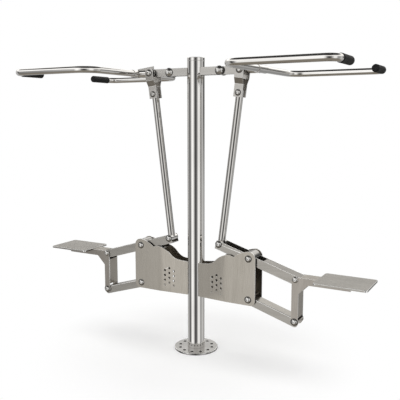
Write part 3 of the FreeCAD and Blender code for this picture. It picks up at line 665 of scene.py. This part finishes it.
@dataclass
class Workshop:
    """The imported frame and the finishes, with what every sub-assembly needs from them."""

    frame: dict
    palette: Palette
    bead: Bead = Bead()
    washer: Washer = Washer()
    point_digits: int = 6
    least_edge: float = 0.002 * MM
    flat_turn: float = math.radians(0.5)
    edge_turn: float = math.radians(24)
    edge_steps: int = 2
    flat_weight: int = 100

    def joint(self, name: str) -> Array:
        """Where a joint's axis crosses the machine's middle plane, in metres."""
        found = next(j for j in self.frame["joints"] if j["name"] == name)
        return np.array(found["pos_m"], float)

    def box(self, node: str) -> tuple[Array, Array]:
        """A node's lowest and highest corner."""
        low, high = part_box(node)
        return np.array(low), np.array(high)

    def extent(self, node: str) -> tuple[Array, Array]:
        """The middle of a node's box and half its sides."""
        low, high = self.box(node)
        return (high + low) / 2, (high - low) / 2

    def points(self, node: str) -> Array:
        """A node's points, in rows of three."""
        return read(self.frame["nodes"][node].data.vertices, "co", 3)

    def paint(self, node: str, finish: Material) -> None:
        """Give a node that keeps its own mesh a finish."""
        self.frame["nodes"][node].material_slots[0].material = finish
        LOG.info("painted %s", node)

    def add(self, piece: Piece, body: str, finish: Material, slot: Slot, *stands_for: str) -> None:
        """Finish a new piece and let it ride.

        Args:
            piece: The new piece.
            body: The body that it rides on.
            finish: Its material, unless it has one.
            slot: The record's slot; not used.
            stands_for: Nodes that it replaces.
        """
        if not piece.data.materials:
            piece.data.materials.append(finish)
        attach(piece, body)
        if stands_for:
            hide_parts(*stands_for)
        LOG.info("%s rides on %s", piece.name, body)

    def weld(
        self, name: str, body: str, seam: Array, up: Array, slot: Slot = Slot.SATIN, looped: bool = False
    ) -> None:
        """Lay a weld bead on a seam, open or looped, and let it ride."""
        self.add(self.bead.along(name, seam, up, looped), body, self.palette.weld, slot)

    def washers(self, stem: str, side: Side, body: str, pin: Array, face: float, head: float) -> None:
        """Put a washer under a bolt's head at the front and one at the back.

        Args:
            stem: The first words of their names.
            side: Their station.
            body: The body that they ride on.
            pin: Where the bolt crosses the middle plane.
            face: How far the bolted faces are from the middle plane.
            head: The radius of the bolt's head.
        """
        radius, high = self.washer.section(head)
        for facing in Facing:
            rings = lathed(radius, facing.value * high, self.washer.sides).swapaxes(0, 1)
            rings = rings + (pin + facing.value * face * Y_AXIS)
            piece = skin(side.of(facing.of(stem)), rings, looped=True)
            # painted shade: each washer takes the near-black steel
            self.add(piece, body, self.palette.washer, Slot.BOLT)

    def rounded(
        self, node: str, body: str, finish: Material, slot: Slot, bevel: float, sheet: float = 0.0,
        clamped: bool = False,
    ) -> Mesh:
        """Show a node as a copy of its solid with rounded edges in a much brighter steel, a painted
        highlight.

        Its triangles are joined at equal points, flat neighbours merged and sharp edges rounded.

        Args:
            node: The node to stand for.
            body: The body that it rides on.
            finish: The material of its faces.
            slot: The record's slot.
            bevel: Width of the rounding.
            sheet: The thickest sheet whose cut edges get the bright steel of the painted highlight, or 0 for
                none.
            clamped: Whether the rounding narrows where the node's edges are short.

        Returns:
            The new piece's mesh.
        """
        corners = read(self.frame["nodes"][node].data.loops, "vertex_index", kind=np.int32)
        places = np.round(self.points(node), self.point_digits)
        points, merged = np.unique(places, axis=0, return_inverse=True)
        mesh = bpy.data.meshes.new("rounded_" + node)
        mesh.from_pydata(points, [], merged.ravel()[corners].reshape(-1, 3).tolist())
        whole = bmesh.new()
        whole.from_mesh(mesh)
        bmesh.ops.dissolve_degenerate(whole, edges=whole.edges, dist=self.least_edge)
        bmesh.ops.dissolve_limit(whole, verts=whole.verts, edges=whole.edges, angle_limit=self.flat_turn)
        whole.to_mesh(mesh)
        whole.free()
        mesh.shade_smooth()
        mesh.materials.append(finish)
        # painted highlight: the cut edges take the bright edge steel
        recoat(mesh, cut_edges(mesh, sheet), self.palette.edge)
        piece = shown(mesh.name, mesh)
        edges = piece.modifiers.new("edges", "BEVEL")
        edges.width = bevel
        edges.segments = self.edge_steps
        edges.limit_method = "ANGLE"
        edges.angle_limit = self.edge_turn
        edges.use_clamp_overlap = clamped
        # painted highlight: the rounded edges take the bright edge steel too
        edges.material = 1
        normals = piece.modifiers.new("normals", "WEIGHTED_NORMAL")
        normals.weight = self.flat_weight
        self.add(piece, body, finish, slot, node)
        return mesh


@dataclass
class Base:
    """The foot plate and the collar round the post's foot."""

    shop: Workshop
    plate_edge: float = 1.0 * MM
    collar_edge: float = 0.7 * MM
    collar_wall: float = 2.6 * MM
    rim_share: float = 0.9
    upright: float = 0.5

    def build(self) -> None:
        """Dress the foot plate and collar."""
        shop, tones = self.shop, self.shop.palette
        plate = shop.rounded("base_flange", "frame", tones.flange, Slot.SATIN, self.plate_edge)
        # painted shade: the bolt holes' walls are made near-black
        recoat(plate, self.painted_shade_walls(plate), tones.bore_painted_shade)
        finish, slot = tones.polished, Slot.POLISHED
        shop.rounded("base_collar", "frame", finish, slot, self.collar_edge, self.collar_wall)

    def painted_shade_walls(self, mesh: Mesh) -> Array:
        """True for the walls of the bolt holes, which take the painted shade: upright faces inside the rim.
        """
        (x, y, _), (_, _, tilt) = (read(mesh.polygons, name, 3).T for name in ("center", "normal"))
        return (np.abs(tilt) < self.upright) & (np.hypot(x, y) < self.rim_share * np.hypot(x, y).max())


@dataclass
class Post:
    """The round post, its cap, and the arms at its head that carry the handles."""

    shop: Workshop
    edge: float = 0.8 * MM
    joint_edge: float = 1.3 * MM
    sheet: float = 8.1 * MM
    head: float = 25.0 * MM

    def build(self) -> None:
        """Dress the post, the cap and the arms."""
        shop, tones = self.shop, self.shop.palette
        for node in ("post", "post_cap"):
            shop.rounded(node, "frame", tones.polished, Slot.POLISHED, self.joint_edge)
        shop.rounded("arm_cheeks", "frame", tones.head, Slot.SATIN, self.edge, self.sheet)
        shop.paint("handle_pivot_bolts", tones.bolt)
        low, high = shop.box("arm_cheeks")
        root = math.sqrt(shop.box("post")[1][0] ** 2 - high[1] ** 2)
        for side in Side:
            for facing in Facing:
                ends = np.array([(side.value * root, facing.value * high[1], z) for z in (low[2], high[2])])
                shop.weld(side.of(facing.of("weld_arm")), "frame", ends, X_AXIS)
            pivot = shop.joint(side.of("handle_lift"))
            shop.washers("washer_arm", side, "frame", pivot, high[1], self.head)


@dataclass
class Wings:
    """The wing plates of both stations, with their pivot bolts, stop bars and rubber stops."""

    shop: Workshop
    edge: float = 0.9 * MM
    pad_edge: float = 1.8 * MM
    sheet: float = 5.1 * MM
    gap: float = 0.3 * MM
    head: float = 19.0 * MM

    def build(self) -> None:
        """Dress the plates, weld them to the post and put washers under the bolts.

        A weld runs up the post where a plate's points touch it, at their outermost Y.
        """
        shop, tones = self.shop, self.shop.palette
        shop.paint("wing_pivot_bolts", tones.bolt)
        shop.rounded("stop_bars", "frame", tones.arm, Slot.SATIN, self.edge)
        shop.rounded("stop_pads", "frame", tones.rubber, Slot.RUBBER, self.pad_edge)
        post = shop.box("post")[1][0]
        for side in Side:
            for facing in Facing:
                node = side.of(facing.of("wing_plate"))
                shop.rounded(node, "frame", tones.plate, Slot.SATIN, self.edge, self.sheet)
                x, y, z = shop.points(node).T
                touching = np.hypot(x, y) < post + self.gap
                root = facing.value * np.abs(y[touching]).max()
                across = side.value * math.sqrt(post ** 2 - root ** 2)
                ends = np.array([(across, root, h) for h in (z[touching].min(), z[touching].max())])
                shop.weld(side.of(facing.of("weld_wing")), "frame", ends, X_AXIS)
            face = shop.box(node)[1][1]
            for arm in ("lever", "guide"):
                pivot = shop.joint(side.of(f"{arm}_pivot"))
                shop.washers(f"washer_{arm}", side, "frame", pivot, face, self.head)


@dataclass
class Arms:
    """One station's lever and the parallel guide arm under it."""

    shop: Workshop
    side: Side
    edge: float = 0.8 * MM
    sheet: float = 4.1 * MM
    level: float = 0.8
    head: float = 19.0 * MM

    def build(self) -> None:
        """Dress both channels, their hubs, bushes and bolts."""
        shop, side, tones = self.shop, self.side, self.shop.palette
        for arm in ("lever", "guide"):
            body, channel = side.of(arm), side.of(f"{arm}_channel")
            lower = arm == "guide"
            mesh = shop.rounded(channel, body, tones.arm, Slot.SATIN, self.edge, self.sheet, clamped=lower)
            if not lower:
                # painted shade: the lever's upward-looking faces take the darker steel
                recoat(mesh, self.lid_painted_shade(mesh), tones.lid_painted_shade)
            # painted shade: the hubs take the darker polished steel
            shop.rounded(side.of(f"{arm}_hubs"), body, tones.hub_painted_shade, Slot.POLISHED, self.edge)
            shop.paint(side.of(f"{arm}_bushes"), tones.polymer)
        shop.paint(side.of("lever_bolts"), tones.bolt)
        foot = shop.joint(side.of("rod_pivot"))
        half = shop.box(side.of("lever_channel"))[1][1]
        shop.washers("washer_rod_foot", side, side.of("lever"), foot, half, self.head)

    def lid_painted_shade(self, mesh: Mesh) -> Array:
        """True for the faces that take the painted shade: the let-in top plate and the lever's floor, broad
        ones that look up.
        """
        plain = read(mesh.polygons, "material_index", kind=np.int32) == 0
        return plain & (read(mesh.polygons, "normal", 3)[:, 2] > self.level)


@dataclass
class Seat:
    """One station's seat: the pressed plate and the bracket that it stands on."""

    shop: Workshop
    side: Side
    plate_edge: float = 0.6 * MM
    bracket_edge: float = 0.9 * MM
    sheet: float = 5.1 * MM
    head: float = 19.0 * MM

    def build(self) -> None:
        """Dress the seat and its bracket, and weld them together."""
        shop, side, tones = self.shop, self.side, self.shop.palette
        body = side.of("seat")
        plate, bracket = side.of("seat_plate"), side.of("seat_bracket_plates")
        shop.rounded(plate, body, tones.arm, Slot.SATIN, self.plate_edge, self.sheet)
        shop.rounded(bracket, body, tones.bracket, Slot.SATIN, self.bracket_edge, self.sheet)
        shop.rounded(side.of("seat_bracket_webs"), body, tones.plate, Slot.SATIN, self.bracket_edge)
        shop.paint(side.of("seat_bolt"), tones.bolt)
        outward = int(side is Side.RIGHT)
        seam = (shop.box(plate)[1 - outward][0], shop.box(bracket)[outward][0])
        wide, top = shop.box(bracket)[1][1:]
        for facing in Facing:
            ends = np.array([(x, facing.value * wide, top) for x in seam])
            shop.weld(side.of(facing.of("weld_seat")), body, ends, Z_AXIS)
        pin, guide, lever = (shop.joint(side.of(f"{arm}_pivot")) for arm in ("seat", "guide", "lever"))
        shop.washers("washer_seat", side, body, pin + guide - lever, wide, self.head)


@dataclass
class Rod:
    """One station's rod, with the fork at its head and the eye at its foot."""

    shop: Workshop
    side: Side
    edge: float = 0.8 * MM
    tube_edge: float = 0.4 * MM
    sheet: float = 6.1 * MM
    eye_reach: float = 149.0 * MM
    clamp_from_pin: float = 141.0 * MM
    clamp_head: float = 16.0 * MM
    pin_head: float = 19.0 * MM

    def build(self) -> None:
        """Dress the rod, its fork and its bolts."""
        shop, side, tones = self.shop, self.side, self.shop.palette
        body, tube, fork = side.of("rod"), side.of("rod_tube"), side.of("rod_fork_plates")
        # painted shade: the rod tube takes the darker polished steel
        shop.rounded(tube, body, tones.rod, Slot.POLISHED, self.tube_edge)
        shop.rounded(side.of("rod_foot"), body, tones.polished, Slot.POLISHED, self.edge)
        shop.rounded(fork, body, tones.head, Slot.SATIN, self.edge, self.sheet)
        shop.paint(side.of("rod_fork_bolts"), tones.bolt)
        foot = shop.joint(side.of("rod_pivot"))
        pin = shop.joint(side.of("handle_lift")) + side.value * self.eye_reach * X_AXIS
        clamp = pin + self.clamp_from_pin * (foot - pin) / np.linalg.norm(foot - pin)
        shop.washers("washer_pin", side, body, pin, shop.box(fork)[1][1], self.pin_head)
        shop.washers("washer_clamp", side, body, clamp, shop.box(tube)[1][1] + self.sheet, self.clamp_head)


@dataclass
class Handle:
    """One station's handle: the arm at the post's head, the bent tube and its two grips."""

    shop: Workshop
    side: Side
    edge: float = 0.8 * MM
    drum_edge: float = 0.48 * MM
    inner_bend: float = 100.0 * MM
    outer_bend: float = 60.0 * MM
    arc_step: float = math.radians(4)
    tube_sides: int = 64
    seam_points: int = 72
    grip_length: float = 183.0 * MM
    grip_overlap: float = 33.0 * MM
    grip_nose: float = 11.0 * MM
    grip_slack: float = 0.4 * MM
    grip_rings: int = 240
    nose_rings: int = 20
    lip_width: float = 9.0 * MM
    rim_round: float = 1.6 * MM
    groove_pitch: float = 6.0 * MM
    groove_depth: float = 0.35 * MM
    smooth_end: float = 26.0 * MM
    dish: float = 1.2 * MM
    dish_shares: tuple[float, ...] = (0.96, 0.86, 0.4, 0.02)

    def build(self) -> None:
        """Dress the arm, lay the welds, bend the tube and fit the grips."""
        shop, side, tones = self.shop, self.side, self.shop.palette
        body = side.of("handle")
        for stem in ("handle_arm", "handle_rib"):
            shop.rounded(side.of(stem), body, tones.head, Slot.SATIN, self.edge)
        for stem in ("handle_hubs", "handle_stub", "handle_sleeve"):
            shop.rounded(side.of(stem), body, tones.polished, Slot.POLISHED, self.drum_edge)
        shop.paint(side.of("handle_bushes"), tones.polymer)
        self.bent_tube()
        self.welds()
        for facing in Facing:
            self.grip(facing)

    def bent_tube(self) -> None:
        """Bend the tube: a circle carried along the route from one grip's end to the other's."""
        shop, side, s = self.shop, self.side, self.side.value
        node = side.of("handle_tube")
        (_, _, height), (_, _, radius) = shop.extent(node)
        near, far = np.sort(np.abs(shop.box(node))[:, 0])
        bar, grip, wide = s * (near + radius), s * (far - radius), shop.box(node)[1][1] - radius
        end = shop.box(side.of("handle_grips"))[1][1] - self.grip_length + self.grip_overlap
        plan = [(grip, -end), (grip, -wide), (bar, -wide), (bar, wide), (grip, wide), (grip, end)]
        corners = np.array([(x, y, height) for x, y in plan])
        bends = [self.outer_bend, self.inner_bend, self.inner_bend, self.outer_bend]
        route = rounded_route(corners, bends, self.arc_step)
        section = circle(radius, self.tube_sides)
        straight = carried(np.outer(lengths(route), X_AXIS), Z_AXIS, section)
        piece = skin(side.of("bent_tube"), carried(route, Z_AXIS, section), straight=straight)
        shop.add(piece, side.of("handle"), shop.palette.tube, Slot.POLISHED, node)

    def welds(self) -> None:
        """Lay the beads where the stub meets the eye and the sleeve, and at the sleeve's ends.

        A round seam on a drum has x = centre + way * sqrt(drum radius^2 - z^2).
        """
        shop, side, s = self.shop, self.side, self.side.value
        body = side.of("handle")
        sleeve, hubs = side.of("handle_sleeve"), side.of("handle_hubs")
        bar, _, height = shop.extent(sleeve)[0]
        nodes = (sleeve, hubs, side.of("handle_stub"), side.of("handle_tube"))
        drum, eye, stub, tube = (shop.extent(node)[1][2] for node in nodes)
        pin = s * (np.abs(shop.box(hubs))[:, 0].max() - eye)
        across, up = circle(1.0, self.seam_points).T
        for name, centre, radius, way in (("eye", pin, eye, s), ("sleeve", bar, drum, -s)):
            z = stub * up
            x = centre + way * np.sqrt(radius ** 2 - z ** 2)
            seam = np.stack([x, stub * across, height + z], axis=-1)
            shop.weld(side.of(f"weld_stub_{name}"), body, seam, X_AXIS, Slot.POLISHED, looped=True)
        for facing in Facing:
            y = np.full_like(up, facing.value * shop.box(sleeve)[1][1])
            seam = np.stack([bar + tube * across, y, height + tube * up], axis=-1)
            name = side.of(facing.of("weld_sleeve"))
            shop.weld(name, body, seam, Y_AXIS, Slot.POLISHED, looped=True)

    def grip(self, facing: Facing) -> None:
        """Fit one rubber grip: a finely grooved sleeve with a lip at its mouth and a rounded end.

        Along the sleeve the radius dips by cos^4 of the distance over the groove's pitch, rises by
        a square-root bump at the lip, and turns in by a quarter ellipse at the nose. The end is
        slightly dished.

        Args:
            facing: The front or the back grip.
        """
        shop, side = self.shop, self.side
        node = side.of("handle_grips")
        (_, _, height), (_, rim, outer) = shop.extent(node)
        axis_x = side.value * (np.abs(shop.box(node))[:, 0].max() - outer)
        sleeve = outer - self.grip_slack
        straight = np.linspace(0.0, self.grip_length - self.grip_nose, self.grip_rings)
        grooved = (straight > self.smooth_end) & (straight < straight[-1] - self.smooth_end / 2)
        dips = self.groove_depth * np.cos(np.pi * straight / self.groove_pitch) ** 4
        half = self.lip_width / 2
        lip = self.grip_slack * np.sqrt(np.clip(1 - np.abs(straight - half) / half, 0.0, 1.0))
        mouth = self.rim_round * np.clip(1 - straight / self.rim_round, 0.0, 1.0) ** 2
        body_radius = sleeve - np.where(grooved, dips, 0.0) + lip - mouth
        turn_in = np.linspace(0.0, np.pi / 2, self.nose_rings)[1:]
        nose_far = straight[-1] + self.grip_nose * np.sin(turn_in)
        nose_radius = sleeve - self.grip_nose * (1 - np.cos(turn_in))
        end_radius = nose_radius[-1] * np.array(self.dish_shares)
        end_far = self.grip_length - self.dish * (np.arange(len(end_radius)) > 0)
        far = np.concatenate([straight, nose_far, end_far])
        radius = np.concatenate([body_radius, nose_radius, end_radius])
        points = lathed(radius, facing.value * (rim - far), self.tube_sides) + (axis_x, 0.0, height)
        piece = skin(side.of(facing.of("grip")), points)
        shop.add(piece, side.of("handle"), shop.palette.rubber, Slot.RUBBER, node)


@dataclass(frozen=True)
class Floor(Finish):
    """A pale matt floor that takes the shadow, lifted towards white for the eye alone.

    Under the foot plate it is painted dark with no glow, a painted shade, so that the bolt holes read, and
    its rim fades to plain white.
    """

    radius: float = 1.15
    fade: float = 0.5
    drop: float = 0.3 * MM
    sides: int = 96
    pale: tuple[Tint, Tint] = ((0.59, 0.59, 0.59), (0.61, 0.61, 0.61))
    # painted shade: the floor's tint under the foot plate
    dark: Tint = (0.01, 0.01, 0.01)
    glow: float = 0.31
    grain: float = 40.0
    # radii over which the painted shade under the foot plate fades out
    painted_shade_radii: Range = (147.0 * MM, 149.0 * MM)

    def fill(self, graph: Graph) -> None:
        """Put in the floor's nodes.

        Args:
            graph: The graph.
        """
        seen, place = graph.eye(), graph.place()
        far = graph.add("VectorMath", operation="LENGTH", Vector=place).outputs["Value"]
        # 0 under the foot plate, where the floor is painted dark as shade and loses its glow, and 1 beyond
        past_painted_shade = graph.spread(far, self.painted_shade_radii)
        pale = graph.blend(graph.noise(place, self.grain), *self.pale)
        lift = graph.math("MULTIPLY", seen, graph.math("MULTIPLY", past_painted_shade, self.glow))
        matt = graph.add("BsdfDiffuse", Color=graph.blend(past_painted_shade, self.dark, pale))
        lit = graph.join(graph.add("AddShader"), matt, graph.add("Emission", Strength=lift))
        rim = graph.add("MixShader", Fac=graph.spread(far, (self.fade, self.radius)))
        graph.surface(graph.join(rim, lit, graph.add("Emission", Strength=seen)))

    def lay(self) -> None:
        """Lay the floor: a flat disc that keeps the machine's shadow and isn't mirrored."""
        points = np.column_stack([circle(self.radius, self.sides), np.full(self.sides, -self.drop)])
        mesh = bpy.data.meshes.new("floor")
        mesh.from_pydata(points, [], [list(range(self.sides))])
        mesh.materials.append(self.material())
        floor = shown("floor", mesh)
        floor.visible_glossy = False


@dataclass(frozen=True)
class Lamp:
    """A square soft box that looks at the middle of the machine and isn't mirrored."""

    name: str
    place: Tint
    size: float
    power: float
    aim_height: float = 0.9

    def hang(self) -> None:
        """Hang the lamp and turn it to its aim."""
        data = bpy.data.lights.new(self.name, "AREA")
        data.size = self.size
        data.energy = self.power
        lamp = shown(self.name, data)
        lamp.location = self.place
        aim = -np.array(self.place) + self.aim_height * Z_AXIS
        pan, tilt = math.atan2(aim[0], -aim[1]), math.atan2(math.hypot(aim[0], aim[1]), -aim[2])
        lamp.rotation_euler = (tilt, 0.0, pan + math.pi)
        lamp.visible_glossy = False


@dataclass(frozen=True)
class Panel:
    """A soft-edged panel of the studio's room, in degrees of turn and of rise over the horizon."""

    tint: Tint
    low: float
    high: float
    turn: float = 0.0
    half: float = 200.0
    soft: float = 8.0

    def share(self, graph: Graph, turn: Socket, rise: Socket) -> Socket:
        """How much of the panel is seen in a direction.

        Its edges fade over the soft angle: the product of a fade in turn and two fades in rise.

        Args:
            graph: The graph to build in.
            turn: The direction's turn.
            rise: The direction's rise.

        Returns:
            The share, from 0 to 1.
        """
        away = graph.math("PINGPONG", graph.math("SUBTRACT", turn, self.turn), 180.0)
        beside = graph.spread(away, (self.half - self.soft, self.half + self.soft), (1.0, 0.0))
        over = graph.spread(rise, (self.low - self.soft, self.low + self.soft))
        under = graph.spread(rise, (self.high - self.soft, self.high + self.soft), (1.0, 0.0))
        return graph.math("MULTIPLY", beside, graph.math("MULTIPLY", over, under))


@dataclass
class Studio:
    """The camera, the lamps, the pale floor and the room that the steel mirrors."""

    camera_place: Tint = (1.954, -3.399, 1.5873)
    camera_turn: Tint = (81.916, 0.0, 29.509)
    lens: float = 53.2
    floor: Floor = Floor("pale_floor")
    lamps: tuple[Lamp, ...] = (
        Lamp("key", (-1.6, -2.6, 3.9), 2.6, 24.0),
        Lamp("fill", (3.2, -2.0, 2.6), 2.2, 14.0),
        Lamp("top", (0.0, 0.1, 4.4), 2.4, 130.0),
    )
    walls: tuple[tuple[float, float], ...] = (
        (-180, 0.45), (-142, 0.54), (-113, 0.58), (-92, 0.06), (-77, 0.32), (-66, 0.80), (-58, 1.12),
        (-47, 1.30), (-32, 0.90), (-19, 0.22), (-6, 0.06), (6, 0.14), (19, 0.58), (32, 1.12), (46, 1.10),
        (60, 0.44), (75, 0.42), (92, 0.68), (118, 0.56), (142, 0.30), (180, 0.45),
    )
    panels: tuple[Panel, ...] = (
        Panel((0.05, 0.05, 0.05), 43, 120, soft=5),
        Panel((1.20, 1.19, 1.17), 18, 38, soft=4),
        Panel((0.62, 0.61, 0.59), 2, 21, 180, 50, 5),
        Panel((1.60, 1.58, 1.54), 21, 35, 180, 50, 4),
        Panel((0.06, 0.06, 0.06), 38, 72, 180, 60, 4),
        Panel((1.30, 1.30, 1.30), 15, 40, -66, 28, 7),
        Panel((0.14, 0.14, 0.14), -3, 12, 126, 22, 5),
        Panel((0.27, 0.245, 0.21), -120, -32),
    )

    def build(self) -> None:
        """Set up the camera, floor, room and lamps."""
        self.place_camera()
        self.floor.lay()
        self.light_room()
        for lamp in self.lamps:
            lamp.hang()

    def place_camera(self) -> None:
        """Put the camera where the picture was taken from."""
        data = bpy.data.cameras.new("camera")
        data.lens = self.lens
        camera = shown("camera", data)
        camera.location = self.camera_place
        camera.rotation_euler = [math.radians(a) for a in self.camera_turn]
        bpy.context.scene.camera = camera

    def light_room(self) -> None:
        """A room of soft walls and panels that lights and is mirrored, white to the eye itself.

        The walls are pairs of a turn about Z in degrees, from the camera's own direction, and a
        brightness. The panels lie over them in order.
        """
        world = bpy.data.worlds.new("room")
        world.use_nodes = True
        bpy.context.scene.world = world
        graph = Graph(world.node_tree, "OutputWorld")
        way = graph.add("TexCoord").outputs["Generated"]
        pan = (0.0, 0.0, -math.atan2(self.camera_place[0], -self.camera_place[1]))
        facing = graph.add("Mapping", Vector=way, Rotation=pan).outputs["Vector"]
        parts = graph.add("SeparateXYZ", Vector=facing).outputs
        front = graph.math("MULTIPLY", parts["Y"], -1.0)
        turn = graph.math("DEGREES", graph.math("ARCTAN2", parts["X"], front))
        rise = graph.math("DEGREES", graph.math("ARCSINE", parts["Z"]))
        ramp = graph.add("ValToRGB", Fac=graph.math("ADD", graph.math("DIVIDE", turn, 360.0), 0.5))
        ramp.color_ramp.interpolation = "EASE"
        stops = ramp.color_ramp.elements
        for _ in self.walls[2:]:
            stops.new(0.5)
        for stop, (angle, level) in zip(stops, self.walls):
            stop.position = angle / 360 + 0.5
            stop.color = (level, level, level, 1.0)
        seen = ramp.outputs["Color"]
        for panel in self.panels:
            seen = graph.blend(panel.share(graph, turn, rise), seen, panel.tint)
        room, plain = (graph.add("Background", Color=tint) for tint in (seen, WHITE))
        graph.surface(graph.join(graph.add("MixShader", Fac=graph.eye()), room, plain))


def main() -> None:
    """Load the frame, dress every sub-assembly and set up the studio."""
    logging.basicConfig(level=logging.INFO, format="%(message)s")
    for old in list(bpy.data.objects):
        bpy.data.objects.remove(old)
    bpy.context.scene.view_settings.view_transform = "Standard"
    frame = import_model()
    shop = Workshop(frame, Palette())
    for assembly in (Base, Post, Wings):
        assembly(shop).build()
    for side in Side:
        for assembly in (Arms, Seat, Rod, Handle):
            assembly(shop, side).build()
    Studio().build()


if __name__ == "__main__":
    main()
